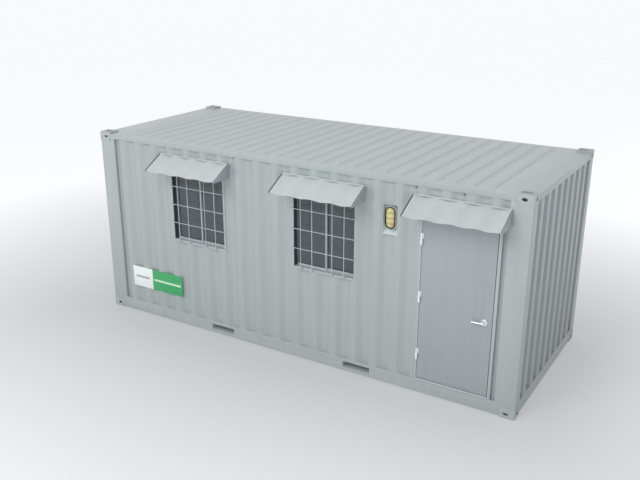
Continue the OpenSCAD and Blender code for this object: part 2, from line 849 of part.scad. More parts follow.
// Steel frame round the leaf, with a stop lip behind the leaf's edges. Its sill stands on
// the bottom rail, in front of the floor boards, and carries the threshold.
module door_frame() {
    depth = frame_y - lining_in_y;
    rebate = frame_y - leaf_back_y + leaf_gap;
    in_w = frame_in_right - frame_in_left;
    color("#b9c3c5") difference() {
        union() {
            translate([frame_out_left, -frame_y, rail_top])
                cube([frame_out_right - frame_out_left, depth, frame_head_top - rail_top]);
            translate([frame_in_left, -frame_y - threshold_out, floor_top - threshold_t])
                cube([in_w, threshold_out + plate_t, threshold_t]);
        }
        translate([frame_in_left, -frame_y - over, floor_top])
            cube([in_w, rebate + over, frame_head - floor_top]);
        translate([frame_in_left + stop_lap, -frame_y, floor_top])
            cube([in_w - 2 * stop_lap, depth + over, frame_head - stop_lap - floor_top]);
        translate([frame_out_left - over, -frame_y + rail_flange, rail_top - over])
            cube([frame_out_right - frame_out_left + 2 * over, depth, floor_top - rail_top + over]);
    }
}

// Lift-off hinges. The lower knuckle and the pin stay on the frame.
module frame_hinges() {
    color("#dfe6e8") for (z = hinge_zs) translate([pin_x, -pin_y, z - hinge_h / 2]) {
        cylinder(r = knuckle_r, h = knuckle_h);
        cylinder(r = pin_r, h = hinge_h - knuckle_cap - pin_gap);
        translate([-hinge_plate_w, pin_y - frame_y - hinge_plate_t, 0])
            cube([hinge_plate_w, hinge_plate_t, knuckle_h]);
    }
}

// The upper knuckle turns on the pin, and its plate is screwed to the leaf
module door_hinges() {
    plate_y = pin_y - frame_y - hinge_plate_t;
    color("#dfe6e8") for (z = hinge_zs) translate([pin_x, -pin_y, z + hinge_h / 2 - knuckle_h])
        difference() {
            union() {
                cylinder(r = knuckle_r, h = knuckle_h);
                translate([0, plate_y, 0]) cube([hinge_plate_w, hinge_plate_t, knuckle_h]);
                translate([leaf_gap, plate_y, 0])
                    cube([hinge_plate_w - leaf_gap, pin_y - leaf_face_y - plate_y, knuckle_h]);
            }
            translate([0, 0, -over]) cylinder(r = pin_r + pin_clear, h = knuckle_h - knuckle_cap + over);
        }
}

module door_leaf() {
    color("#a0a8ae") difference() {
        translate([leaf_x, -leaf_face_y, leaf_bottom]) cube([leaf_w, leaf_t, leaf_h]);
        translate([handle_x, -leaf_face_y - over, handle_z]) rotate([-90, 0, 0])
            cylinder(r = spindle_r + spindle_play, h = leaf_t + 2 * over);
    }
}

module lock_roses() {
    color("#e3e9ea") for (y = [-leaf_face_y - rose_t, -leaf_back_y])
        translate([handle_x, y, handle_z]) rotate([-90, 0, 0]) difference() {
            cylinder(r = rose_r, h = rose_t);
            translate([0, 0, -over]) cylinder(r = spindle_r + pin_clear, h = rose_t + 2 * over);
        }
}

// Spindle through the leaf, with a lever on each side that points to the hinges
module door_levers() {
    y0 = -leaf_face_y - lever_out;
    y1 = -leaf_back_y + lever_out;
    color("#e3e9ea") {
        translate([handle_x, y0, handle_z]) rotate([-90, 0, 0]) cylinder(r = spindle_r, h = y1 - y0);
        for (y = [y0, y1]) translate([handle_x + lever_r, y, handle_z]) rotate([0, -90, 0])
            cylinder(r = lever_r, h = lever_l + lever_r);
    }
}

// ---------------------------------------------------------------- lamp

// Outer block of the lamp's niche. ahead lengthens it out of the wall, for cutting.
module niche_block(ahead) {
    w = niche_w + 2 * niche_t;
    back = niche_d + niche_t;
    translate([lamp_x - w / 2, -crest_y, 0]) rotate([90, 0, 90]) linear_extrude(w)
        polygon([[-ahead, niche_low - niche_t], [0, niche_low - niche_t],
                 [back, niche_low + niche_rise - niche_t], [back, niche_top + niche_t],
                 [-ahead, niche_top + niche_t]]);
}

// Folded steel pocket let into the wall, with a floor that slopes out to shed rain
module lamp_niche() {
    color("#a7b1b3") difference() {
        niche_block(0);
        translate([lamp_x - niche_w / 2, -crest_y, 0]) rotate([90, 0, 90]) linear_extrude(niche_w)
            polygon([[-over, niche_low], [0, niche_low], [niche_d, niche_low + niche_rise],
                     [niche_d, niche_top], [-over, niche_top]]);
    }
}

// Upright oval of width w and height h, in the X-Z plane, running back by d
module oval_plate(w, h, d) {
    for (side = [-1, 1]) translate([0, 0, side * (h - w) / 2]) rotate([-90, 0, 0])
        cylinder(d = w, h = d);
    translate([-w / 2, 0, -(h - w) / 2]) cube([w, d, h - w]);
}

module lamp_body() {
    color("#17191a") translate([lamp_x, -crest_y + lamp_rim, lamp_z]) difference() {
        oval_plate(lamp_w, lamp_h, niche_d - lamp_rim);
        translate([0, -over, 0])
            oval_plate(lamp_w - 2 * lamp_edge, lamp_h - 2 * lamp_edge, lens_seat + over);
    }
}

// The lens sits in the rim with a hair of play, and bulges out past the wall
module lamp_lens() {
    play = 0.6;
    color("#d9c24a") translate([lamp_x, -crest_y + lamp_rim + lens_seat - lens_d, lamp_z])
        oval_plate(lamp_w - 2 * lamp_edge - play, lamp_h - 2 * lamp_edge - play, lens_d);
}

// ---------------------------------------------------------------- sign

module white_sign_panel() {
    color("#eef2f2") translate([sign_x, -crest_y - sign_t, sign_z]) cube([white_sign_w, sign_t, sign_h]);
}

module green_sign_panel() {
    color("#34a85c") translate([sign_x + white_sign_w, -crest_y - sign_t, sign_z])
        cube([green_sign_w, sign_t, sign_h]);
}

bottom_corner_castings();
top_corner_castings();
corner_posts();
front_bottom_rail();
back_bottom_rail();
end_bottom_rails();
top_side_rails();
top_end_rails();
fork_pockets();
floor_bearers();
floor_boards();
roof_sheet();
roof_end_plates();
front_wall();
wall_over_door();
wall_beside_door();
back_wall();
left_end_wall();
right_end_wall();
front_lining();
lining_over_door();
lining_beside_door();
back_lining();
end_linings();
ceiling_lining();
left_window_surround();
middle_window_surround();
window_frames();
window_sashes();
window_glass();
left_window_grille();
middle_window_grille();
left_window_awning();
middle_window_awning();
door_awning();
door_frame();
frame_hinges();
lamp_niche();
lamp_body();
lamp_lens();
white_sign_panel();
green_sign_panel();
door_leaf();
door_hinges();
lock_roses();
door_levers();
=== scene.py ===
from math import cos, pi, radians, sin

import bmesh
import bpy
from mathutils import Matrix, Vector


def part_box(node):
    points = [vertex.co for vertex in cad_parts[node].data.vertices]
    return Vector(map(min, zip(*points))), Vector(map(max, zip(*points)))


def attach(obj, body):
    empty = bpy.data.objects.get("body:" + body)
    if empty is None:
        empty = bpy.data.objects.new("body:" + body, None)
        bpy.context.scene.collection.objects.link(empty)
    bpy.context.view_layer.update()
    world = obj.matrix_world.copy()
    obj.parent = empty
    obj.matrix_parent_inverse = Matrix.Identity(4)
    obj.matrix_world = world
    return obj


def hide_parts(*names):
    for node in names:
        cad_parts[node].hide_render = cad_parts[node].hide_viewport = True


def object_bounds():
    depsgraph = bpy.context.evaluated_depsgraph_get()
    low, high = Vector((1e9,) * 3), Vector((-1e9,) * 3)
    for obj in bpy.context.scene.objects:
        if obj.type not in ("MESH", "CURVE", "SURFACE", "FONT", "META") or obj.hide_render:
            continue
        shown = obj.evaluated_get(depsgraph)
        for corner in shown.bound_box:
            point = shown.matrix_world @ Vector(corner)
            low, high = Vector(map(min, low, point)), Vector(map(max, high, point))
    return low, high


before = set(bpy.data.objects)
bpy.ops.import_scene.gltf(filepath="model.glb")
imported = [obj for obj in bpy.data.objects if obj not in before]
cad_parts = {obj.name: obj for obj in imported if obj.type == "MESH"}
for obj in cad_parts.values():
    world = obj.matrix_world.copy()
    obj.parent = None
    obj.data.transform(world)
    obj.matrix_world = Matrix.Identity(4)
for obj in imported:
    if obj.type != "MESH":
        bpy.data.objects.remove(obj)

cad_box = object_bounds()


# ------------------------------------------------------------------ camera
# A view with a normal lens from beyond the right front corner, 2.2 m above the roof.
camera_place = Vector((5.14839, -8.81342, 4.80145))
left_turn = radians(31.403)
down_tilt = radians(19.444)
roll = radians(0.085)
ahead = Vector((-sin(left_turn) * cos(down_tilt), cos(left_turn) * cos(down_tilt),
                -sin(down_tilt)))
level_right = Vector((cos(left_turn), sin(left_turn), 0))
level_up = level_right.cross(ahead)
camera_right = level_right * cos(roll) + level_up * sin(roll)
camera_up = level_up * cos(roll) - level_right * sin(roll)

bpy.ops.object.camera_add()
camera = bpy.context.object
camera.name = "camera"
camera.data.lens = 44.49
camera.data.sensor_width = 36
camera.data.clip_end = 1000
turn = Matrix((camera_right, camera_up, -ahead)).transposed()
camera.matrix_world = Matrix.Translation(camera_place) @ turn.to_4x4()
bpy.context.scene.camera = camera
bpy.context.scene.view_settings.view_transform = "Standard"


# ------------------------------------------------------------------ studio floor and light
# A seamless pale floor that runs up to white far away, under a pale sky and one very large
# soft light in front of the cabin, high up. Painted shade makes the floor darker near the
# cabin.
def linear(colour):
    """An sRGB hex colour as linear red, green, blue and alpha."""
    parts = [int(colour[i:i + 2], 16) / 255 for i in (1, 3, 5)]
    return [p / 12.92 if p <= 0.04045 else ((p + 0.055) / 1.055) ** 2.4 for p in parts] + [1]


def add_node(material, kind, inputs, **settings):
    """Adds a node. Inputs map a socket to a value or to another node's (node, output)."""
    tree = material.node_tree
    node = tree.nodes.new(kind)
    for name, value in settings.items():
        setattr(node, name, value)
    for socket, value in inputs.items():
        if isinstance(value, tuple) and isinstance(value[0], bpy.types.Node):
            tree.links.new(value[0].outputs[value[1]], node.inputs[socket])
        else:
            node.inputs[socket].default_value = value
    return node


def blend(material, share, low, high):
    """A node that mixes two sRGB hex colours by another node's (node, output)."""
    return add_node(material, "ShaderNodeMix", {0: share, 6: linear(low), 7: linear(high)},
                    data_type="RGBA")


def wire(shader, **sources):
    """Links outputs of nodes to the sockets of a shader, by name."""
    for socket, output in sources.items():
        shader.id_data.links.new(output, shader.inputs[socket.replace("_", " ")])


def new_finish(name, **sockets):
    """A material with a Principled shader, whose constant sockets are set by name."""
    finish = bpy.data.materials.new(name)
    finish.use_nodes = True
    shader = finish.node_tree.nodes["Principled BSDF"]
    for socket, value in sockets.items():
        shader.inputs[socket.replace("_", " ")].default_value = value
    return finish, shader


floor_size = 900
floor_paint, floor_shader = new_finish("studio floor paint", Roughness=0.9)
floor_shader.inputs["Specular IOR Level"].default_value = 0.15
where = add_node(floor_paint, "ShaderNodeTexCoord", {})
# Distance over the ground from the cabin's footprint, by which the floor is painted darker and
# glows less near the cabin: painted shade round its foot
mirrored = add_node(floor_paint, "ShaderNodeVectorMath", {0: (where, "Object")},
                    operation="ABSOLUTE")
past_edge = add_node(floor_paint, "ShaderNodeVectorMath",
                     {0: (mirrored, "Vector"), 1: (cad_box[1][0], cad_box[1][1], 1.0)},
                     operation="SUBTRACT")
outside = add_node(floor_paint, "ShaderNodeVectorMath", {0: (past_edge, "Vector")},
                   operation="MAXIMUM")
reach = add_node(floor_paint, "ShaderNodeVectorMath", {0: (outside, "Vector")},
                 operation="LENGTH")
painted_shade_fade = add_node(floor_paint, "ShaderNodeMapRange",
                {"Value": (reach, "Value"), "From Min": 0.3, "From Max": 6.0})
floor_tone_painted_shade = blend(floor_paint, (painted_shade_fade, "Result"), "#9fa0a1", "#c0c1c2")
# The floor glows like a light table, brighter further off, and painted light makes it brighter
# towards the right, on the cabin's shaded side
cove = add_node(floor_paint, "ShaderNodeMapRange",
                {"Value": (painted_shade_fade, "Result"), "To Min": 0.30, "To Max": 0.60})
ground = add_node(floor_paint, "ShaderNodeSeparateXYZ", {0: (where, "Object")})
painted_light_right = add_node(floor_paint, "ShaderNodeMapRange",
                      {"Value": (ground, "X"), "From Min": 0.0, "From Max": 4.0,
                       "To Max": 0.07})
glow_and_painted_light = add_node(floor_paint, "ShaderNodeMath",
                       {0: (cove, "Result"), 1: (painted_light_right, "Result")}, operation="ADD")
floor_shader.inputs["Emission Color"].default_value = linear("#f8fafc")
wire(floor_shader, Base_Color=floor_tone_painted_shade.outputs[2], Emission_Strength=glow_and_painted_light.outputs[0])

bpy.ops.mesh.primitive_plane_add(size=floor_size, location=(0, 0, 0))
floor = bpy.context.object
floor.name = "studio_floor"
floor.data.materials.append(floor_paint)

sky = bpy.data.worlds.new("studio sky")
bpy.context.scene.world = sky
sky.use_nodes = True
sky_shader = sky.node_tree.nodes["Background"]
sky_shader.inputs["Color"].default_value = linear("#fafafa")
# The sky is dimmer beyond the door's end of the cabin
direction = add_node(sky, "ShaderNodeTexCoord", {})
sides = add_node(sky, "ShaderNodeSeparateXYZ", {0: (direction, "Generated")})
dimming = add_node(sky, "ShaderNodeMapRange",
                   {"Value": (sides, "X"), "From Min": -0.2, "From Max": 0.9,
                    "To Min": 0.82, "To Max": 0.37})
# It is as white as the far floor where they meet, so that no edge shows between them
horizon = add_node(sky, "ShaderNodeMapRange",
                   {"Value": (sides, "Z"), "From Min": 0.16, "From Max": 0.30,
                    "To Min": 1.0, "To Max": 0.0})
sky_strength = add_node(sky, "ShaderNodeMix",
                        {0: (horizon, "Result"), 2: (dimming, "Result"), 3: 0.99})
wire(sky_shader, Strength=sky_strength.outputs[0])

light_place = Vector((-1.6, -12, 10.5))
light_target = Vector((0, 0, 1.2))
bpy.ops.object.light_add(type="AREA", location=light_place)
soft_light = bpy.context.object
soft_light.name = "soft_light"
soft_light.data.shape = "DISK"
soft_light.data.size = 9
soft_light.data.energy = 680
aim = (light_target - light_place).to_track_quat("-Z", "Y")
soft_light.rotation_euler = aim.to_euler()


# ------------------------------------------------------------------ corner castings
# Eight hollow cast steel corner fittings, shot-blasted and sprayed with the frame. Their
# edges are well rounded by the mould, and their skin is a little coarse under the paint.
def sprayed_paint(name, colour, roughness, grain, depth):
    """Air-dried enamel sprayed on steel: clouded a little by dust, with a fine orange peel."""
    finish, shader = new_finish(name, Roughness=roughness)
    shader.inputs["IOR"].default_value = 1.5
    where = add_node(finish, "ShaderNodeTexCoord", {})
    cloud = add_node(finish, "ShaderNodeTexNoise",
                     {"Vector": (where, "Object"), "Scale": 1.7, "Detail": 5.0,
                      "Roughness": 0.62})
    # Rain leaves faint upright streaks, some 60 mm wide and a metre long
    stretch = add_node(finish, "ShaderNodeMapping",
                       {"Vector": (where, "Object"), "Scale": (16.0, 16.0, 0.9)})
    streak = add_node(finish, "ShaderNodeTexNoise",
                      {"Vector": (stretch, "Vector"), "Scale": 1.0, "Detail": 3.0})
    both = add_node(finish, "ShaderNodeMath", {0: (cloud, "Fac"), 1: (streak, "Fac")},
                    operation="ADD")
    spread = add_node(finish, "ShaderNodeMapRange",
                      {"Value": (both, "Value"), "From Min": 0.7, "From Max": 1.3})
    clean = linear(colour)
    dusty = [c * 0.93 for c in clean[:3]] + [1]
    tone = add_node(finish, "ShaderNodeMix", {0: (spread, "Result"), 6: dusty, 7: clean},
                    data_type="RGBA")
    gloss = add_node(finish, "ShaderNodeMapRange",
                     {"Value": (cloud, "Fac"), "From Min": 0.3, "From Max": 0.7,
                      "To Min": roughness - 0.05, "To Max": roughness + 0.07})
    # Real orange peel is 1 to 2 mm wide, so it is drawn coarser to show at all
    peel = add_node(finish, "ShaderNodeTexNoise",
                    {"Vector": (where, "Object"), "Scale": 1 / grain, "Detail": 2.0})
    relief = add_node(finish, "ShaderNodeBump",
                      {"Height": (peel, "Fac"), "Strength": 0.35, "Distance": depth})
    wire(shader, Base_Color=tone.outputs[2], Roughness=gloss.outputs[0],
         Normal=relief.outputs[0])
    return finish


def pick(piece):
    """Makes one piece the only selected and the active one."""
    bpy.ops.object.select_all(action="DESELECT")
    piece.select_set(True)
    bpy.context.view_layer.objects.active = piece


def open_mesh(piece, kind):
    """Puts a piece in edit mode with nothing selected. Kind is VERT, EDGE or FACE."""
    pick(piece)
    bpy.ops.object.mode_set(mode="EDIT")
    bpy.ops.mesh.select_mode(type=kind)
    bpy.ops.mesh.select_all(action="DESELECT")


def choose(piece, parts, test):
    """Selects the verts, edges or faces of the open mesh that pass a test."""
    mesh = bmesh.from_edit_mesh(piece.data)
    for part in getattr(mesh, parts):
        if test(part):
            part.select_set(True)
    bmesh.update_edit_mesh(piece.data)


def close_mesh():
    bpy.ops.object.mode_set(mode="OBJECT")


def copy_node(node, name):
    """A copy of a CAD node's mesh, merged, with the triangles of each flat face joined."""
    piece = bpy.data.objects.new(name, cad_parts[node].data.copy())
    piece.data.name = name
    bpy.context.scene.collection.objects.link(piece)
    open_mesh(piece, "VERT")
    bpy.ops.mesh.select_all(action="SELECT")
    bpy.ops.mesh.customdata_custom_splitnormals_clear()
    bpy.ops.mesh.remove_doubles(threshold=0.00002)
    bpy.ops.mesh.dissolve_limited(angle_limit=radians(0.5))
    close_mesh()
    return piece


def soften(piece, width, segments=2, over=25):
    """Rounds every edge of a piece that turns by more than a number of degrees."""
    pick(piece)
    bpy.ops.object.modifier_add(type="BEVEL")
    edges = piece.modifiers[-1]
    edges.width = width
    edges.segments = segments
    edges.limit_method = "ANGLE"
    edges.angle_limit = radians(over)
    bpy.ops.object.modifier_apply(modifier=edges.name)
    bpy.ops.object.shade_smooth_by_angle(angle=radians(38))


def fit(piece, finish, body="cabin", nodes=()):
    """Gives a piece its finish and lets it ride on a body."""
    piece.data.materials.clear()
    piece.data.materials.append(finish)
    piece.data.name = piece.name
    if nodes:
        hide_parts(*nodes)
    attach(piece, body)


casting_paint = sprayed_paint("enamel on cast steel", "#aeb6b7", 0.46, 0.012, 0.0006)
mould_radius = 0.005
for level in ("bottom", "top"):
    castings = copy_node(f"{level}_corner_castings", f"{level}_castings")
    soften(castings, mould_radius, 3)
    fit(castings, casting_paint, nodes=[f"{level}_corner_castings"])


# ------------------------------------------------------------------ posts and rails
# Corner posts of folded 6 mm plate, and rails of rolled channel and square tube. They are
# welded to the castings, and the beads are left as laid and sprayed over.
frame_enamel = sprayed_paint("enamel on structural steel", "#aeb6b7", 0.42, 0.009, 0.0003)
# Each member with the radius that its folds or rolled edges have
structure = {"corner_posts": 0.0028, "front_bottom_rail": 0.002, "back_bottom_rail": 0.002,
             "end_bottom_rails": 0.002, "top_side_rails": 0.0022, "top_end_rails": 0.0022,
             "fork_pockets": 0.0015, "floor_bearers": 0.0012}
for node, radius in structure.items():
    member = copy_node(node, f"steel_{node}")
    soften(member, radius)
    fit(member, frame_enamel, nodes=[node])


def between(name, low, high):
    """A block from its lowest to its highest corner."""
    bpy.ops.object.select_all(action="DESELECT")
    low, high = Vector(low), Vector(high)
    bpy.ops.mesh.primitive_cube_add(size=1, location=(low + high) / 2)
    block = bpy.context.object
    block.name = name
    block.scale = high - low
    bpy.ops.object.transform_apply(location=True, rotation=True, scale=True)
    return block


def lay_bead(bead, radius):
    """Turns loose edges into a round bead of weld or sealant with closed ends."""
    pick(bead)
    bpy.ops.object.convert(target="CURVE")
    bead.data.bevel_depth = radius
    bead.data.bevel_resolution = 1
    bead.data.use_fill_caps = True
    bpy.ops.object.convert(target="MESH")
    open_mesh(bead, "VERT")
    bpy.ops.mesh.select_all(action="SELECT")
    bpy.ops.mesh.remove_doubles(threshold=0.00001)
    bpy.ops.mesh.normals_make_consistent(inside=False)
    close_mesh()
    bpy.ops.object.shade_smooth_by_angle(angle=radians(50))


def join(name, pieces):
    """Joins pieces into one with a name."""
    pick(pieces[0])
    for piece in pieces:
        piece.select_set(True)
    if len(pieces) > 1:
        bpy.ops.object.join()
    pieces[0].name = name
    return pieces[0]


weld_paint = sprayed_paint("enamel over weld metal", "#adb7b9", 0.44, 0.006, 0.0012)
weld_radius = 0.0035
# A bead runs round the outside of each post where it stands on or under a casting
casting_l = 0.178
casting_w = 0.162
casting_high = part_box("bottom_corner_castings")[1]
casting_inner = Vector((casting_high.x - casting_l, casting_high.y - casting_w, 0))
post_low, post_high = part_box("corner_posts")
seams = []
for side_x in (-1, 1):
    for side_y in (-1, 1):
        for height in (casting_high.z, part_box("top_corner_castings")[0].z):
            outer = Vector((side_x * post_high.x, side_y * post_high.y, height))
            inner = Vector((side_x * casting_inner.x, side_y * casting_inner.y, height))
            corners = sorted((inner.x, outer.x)), sorted((inner.y, outer.y))
            # Of this block only the two outer edges at its top stay
            seam = between("seam", (corners[0][0], corners[1][0], height - casting_w),
                           (corners[0][1], corners[1][1], height))
            open_mesh(seam, "EDGE")
            choose(seam, "edges", lambda e: not (
                all(abs(v.co.z - height) < 1e-5 for v in e.verts)
                and (all(abs(v.co.x - outer.x) < 1e-5 for v in e.verts)
                     or all(abs(v.co.y - outer.y) < 1e-5 for v in e.verts))))
            bpy.ops.mesh.delete(type="EDGE_FACE")
            close_mesh()
            lay_bead(seam, weld_radius)
            seams.append(seam)
casting_welds = join("casting_welds", seams)
fit(casting_welds, weld_paint)


# ------------------------------------------------------------------ corrugated walls
# 2 mm weathering steel, pressed into trapezoids, butt-welded into one sheet and welded all
# round to the frame. The press leaves a round bend at every fold.
wall_enamel = sprayed_paint("enamel on pressed sheet steel", "#adb5b6", 0.4, 0.010, 0.0004)
# The end walls' enamel is a darker grey than the side walls': painted shade for the ends
# turned from the light
end_wall_painted_shade = sprayed_paint("end wall enamel darkened as painted shade", "#a3abad", 0.4, 0.010, 0.0004)
bend_radius = 0.007

# A fold that lies right beside a hole for a window stays sharp
hole_edges = [corner.x for window in ("left", "middle")
              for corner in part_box(f"{window}_window_surround")]


def round_bends(piece, along, width, segments=3):
    """Rounds the folds of a sheet that run along a direction, but not its cut edges."""
    open_mesh(piece, "EDGE")
    choose(piece, "edges", lambda e: (
        len(e.link_faces) == 2 and radians(8) < e.calc_face_angle(0) < radians(80)
        and abs((e.verts[1].co - e.verts[0].co).normalized().dot(along)) > 0.99
        and min(abs(e.verts[0].co.x - x) for x in hole_edges) > width))
    bpy.ops.mesh.bevel(offset=width, segments=segments, affect="EDGES", clamp_overlap=False)
    close_mesh()
    pick(piece)
    bpy.ops.object.shade_smooth_by_angle(angle=radians(30))


def split_edges(piece, test):
    """Copies the chosen edges of a piece into an object of their own."""
    open_mesh(piece, "EDGE")
    choose(piece, "edges", test)
    bpy.ops.mesh.duplicate()
    bpy.ops.mesh.separate(type="SELECTED")
    close_mesh()
    return [o for o in bpy.context.selected_objects if o != piece][0]


def keep_skin(piece, out, least):
    """Leaves only the faces that look out along a direction by at least a share."""
    open_mesh(piece, "FACE")
    choose(piece, "faces", lambda f: f.normal.dot(out) < least)
    bpy.ops.mesh.delete(type="FACE")
    close_mesh()


def thicken(piece, gauge):
    """Gives an open skin the gauge of its sheet, inwards."""
    pick(piece)
    bpy.ops.object.modifier_add(type="SOLIDIFY")
    sheet_gauge = piece.modifiers[-1]
    sheet_gauge.thickness = gauge
    sheet_gauge.offset = -1
    sheet_gauge.use_even_offset = True
    bpy.ops.object.modifier_apply(modifier=sheet_gauge.name)
    bpy.ops.object.shade_smooth_by_angle(angle=radians(30))


gauge = 0.002
# The inner skin and the cut ends look outwards by less than this share
least_outward = 0.1
outward = {"front_wall": Vector((0, -1, 0)), "wall_over_door": Vector((0, -1, 0)),
           "back_wall": Vector((0, 1, 0)), "left_end_wall": Vector((-1, 0, 0)),
           "right_end_wall": Vector((1, 0, 0))}
beads = []
for node, out in outward.items():
    sheet = copy_node(node, f"sheet_{node}")
    keep_skin(sheet, out, least_outward)
    round_bends(sheet, Vector((0, 0, 1)), bend_radius)
    low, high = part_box(node)
    ends = (high.z,) if node == "wall_over_door" else (low.z, high.z)
    for height in ends:
        bead = split_edges(sheet, lambda e: (
            all(abs(v.co.z - height) < 1e-4 for v in e.verts)
            and any(f.normal.dot(out) > 0.3 for f in e.link_faces)))
        lay_bead(bead, weld_radius)
        beads.append(bead)
    thicken(sheet, gauge)
    fit(sheet, end_wall_painted_shade if "end" in node else wall_enamel, nodes=[node])
wall_welds = join("wall_welds", beads)
fit(wall_welds, weld_paint)

# Grey steel plugs close the wall's old vent holes, under the top rail
plug_enamel = sprayed_paint("grey enamel on steel plugs", "#838b8d", 0.5, 0.004, 0.0003)
plug_r = 0.012
plug_l = 0.016
plug_places = ((1.720, -1.190, 2.4825), (2.276, -1.190, 2.4825), (-0.770, -1.196, 2.4950))
plugs = []
for place in plug_places:
    bpy.ops.object.select_all(action="DESELECT")
    bpy.ops.mesh.primitive_cylinder_add(vertices=32, radius=plug_r, depth=plug_l,
                                        location=place, rotation=(pi / 2, 0, 0))
    plugs.append(bpy.context.object)
vent_plugs = join("vent_plugs", plugs)
bpy.ops.object.transform_apply(location=True, rotation=True, scale=True)
soften(vent_plugs, 0.002, 2)
fit(vent_plugs, plug_enamel)

# The strip between the door frame and the post is flat
strip = copy_node("wall_beside_door", "strip_beside_door")
soften(strip, 0.0006, 1)
fit(strip, wall_enamel, nodes=["wall_beside_door"])


# ------------------------------------------------------------------ roof
# 2 mm sheet with shallow pressed ribs that run across, stopped short of both sides, and a
# flat plate at each end. All are lap-welded, and their enamel is lighter than the walls' as
# painted light for the lit top.
roof_painted_light = sprayed_paint("roof enamel lightened as painted light", "#c0c7c9", 0.42, 0.010, 0.0004)
rib_radius = 0.005
roof = copy_node("roof_sheet", "roof_skin")
open_mesh(roof, "EDGE")
choose(roof, "edges", lambda e: (
    len(e.link_faces) == 2 and radians(8) < e.calc_face_angle(0) < radians(80)))
bpy.ops.mesh.bevel(offset=rib_radius, segments=3, affect="EDGES", clamp_overlap=True)
close_mesh()
pick(roof)
bpy.ops.object.shade_smooth_by_angle(angle=radians(30))
fit(roof, roof_painted_light, nodes=["roof_sheet"])

plates = copy_node("roof_end_plates", "roof_plates")
soften(plates, 0.001, 2)
fit(plates, roof_painted_light, nodes=["roof_end_plates"])


# ------------------------------------------------------------------ floor boards and linings
# 28 mm phenolic plywood sheets side by side on the bearers, and insulated wall panels with
# a white melamine face. Both show through the doorway and dimly through the glass.
plywood, plywood_shader = new_finish("phenolic-faced plywood", Roughness=0.55)
where = add_node(plywood, "ShaderNodeTexCoord", {})
# Veneer grain lies along the sheets, about 4 mm wide and 150 mm long
along_grain = add_node(plywood, "ShaderNodeMapping",
                       {"Vector": (where, "Object"), "Scale": (60.0, 1.6, 1.6)})
grain = add_node(plywood, "ShaderNodeTexNoise",
                 {"Vector": (along_grain, "Vector"), "Scale": 4.0, "Detail": 6.0,
                  "Distortion": 0.8})
veneer = blend(plywood, (grain, "Fac"), "#6d5a41", "#94805f")
pores = add_node(plywood, "ShaderNodeBump",
                 {"Height": (grain, "Fac"), "Strength": 0.4, "Distance": 0.0004})
wire(plywood_shader, Base_Color=veneer.outputs[2], Normal=pores.outputs[0])

deck_low, deck_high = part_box("floor_boards")
board_count = 5
board_l = (deck_high.x - deck_low.x) / board_count
half_joint = 0.0015
boards = []
for i in range(board_count):
    left = deck_low.x + i * board_l
    board = between("board", (left + half_joint, deck_low.y, deck_low.z),
                    (left + board_l - half_joint, deck_high.y, deck_high.z))
    soften(board, 0.0015, 2)
    boards.append(board)
deck = join("floor_deck", boards)
fit(deck, plywood, nodes=["floor_boards"])

melamine, melamine_shader = new_finish("white melamine board", Roughness=0.5)
where = add_node(melamine, "ShaderNodeTexCoord", {})
mottle = add_node(melamine, "ShaderNodeTexNoise",
                  {"Vector": (where, "Object"), "Scale": 3.0, "Detail": 4.0})
shade = blend(melamine, (mottle, "Fac"), "#cfcfc8", "#dededa")
# The pressed skin of such board is a fine pebble of about 2 mm
pebble = add_node(melamine, "ShaderNodeTexVoronoi",
                  {"Vector": (where, "Object"), "Scale": 450.0})
dimple = add_node(melamine, "ShaderNodeBump",
                  {"Height": (pebble, "Distance"), "Strength": 0.2, "Distance": 0.0003})
wire(melamine_shader, Base_Color=shade.outputs[2], Normal=dimple.outputs[0])
for node in ("front_lining", "lining_over_door", "lining_beside_door", "back_lining",
             "end_linings", "ceiling_lining"):
    board = copy_node(node, f"panel_{node}")
    soften(board, 0.0012, 1)
    fit(board, melamine, nodes=[node])

# Cover strips hide the joints between the panels of the back wall, one at each board joint
strip_w = 0.030
strip_t = 0.003
back_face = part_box("back_lining")[0].y
ceiling_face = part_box("ceiling_lining")[0].z
strips = []
for i in range(1, board_count):
    x = deck_low.x + i * board_l
    strip = between("strip", (x - strip_w / 2, back_face - strip_t, deck_high.z),
                    (x + strip_w / 2, back_face, ceiling_face))
    soften(strip, 0.0012, 2)
    strips.append(strip)
cover_strips = join("cover_strips", strips)
fit(cover_strips, melamine)


# ------------------------------------------------------------------ window surrounds
# Folded steel boxes welded into holes cut in the wall, with their front edges proud of the
# crests. They are sprayed with the walls.
trim_enamel = sprayed_paint("enamel on folded trim", "#b3bbbc", 0.4, 0.009, 0.0003)
windows = ("left", "middle")
for window in windows:
    surround = copy_node(f"{window}_window_surround", f"{window}_surround")
    soften(surround, 0.003, 3)
    fit(surround, trim_enamel, nodes=[f"{window}_window_surround"])


# ------------------------------------------------------------------ window frames and sashes
# Two-track aluminium sliders, mitred and powder-coated pale grey. The left sash runs in
# front of the right one, and each pane sits in a black rubber gasket.
coated, coated_shader = new_finish("powder-coated aluminium", Roughness=0.38)
where = add_node(coated, "ShaderNodeTexCoord", {})
powder = add_node(coated, "ShaderNodeTexNoise",
                  {"Vector": (where, "Object"), "Scale": 300.0, "Detail": 2.0})
tint = blend(coated, (powder, "Fac"), "#bcc4c6", "#c8d0d2")
texture = add_node(coated, "ShaderNodeBump",
                   {"Height": (powder, "Fac"), "Strength": 0.25, "Distance": 0.0002})
wire(coated_shader, Base_Color=tint.outputs[2], Normal=texture.outputs[0])
for node in ("window_frames", "window_sashes"):
    member = copy_node(node, f"coated_{node}")
    soften(member, 0.0012, 2)
    fit(member, coated, nodes=[node])


def hollow_through(block, width):
    """Cuts a rectangular way through a block along Y and leaves a ring of a given width."""
    open_mesh(block, "FACE")
    choose(block, "faces", lambda f: abs(f.normal.y) > 0.9)
    bpy.ops.mesh.inset(thickness=width, use_even_offset=True)
    bpy.ops.mesh.bridge_edge_loops()
    bpy.ops.mesh.select_all(action="SELECT")
    bpy.ops.mesh.normals_make_consistent(inside=False)
    close_mesh()


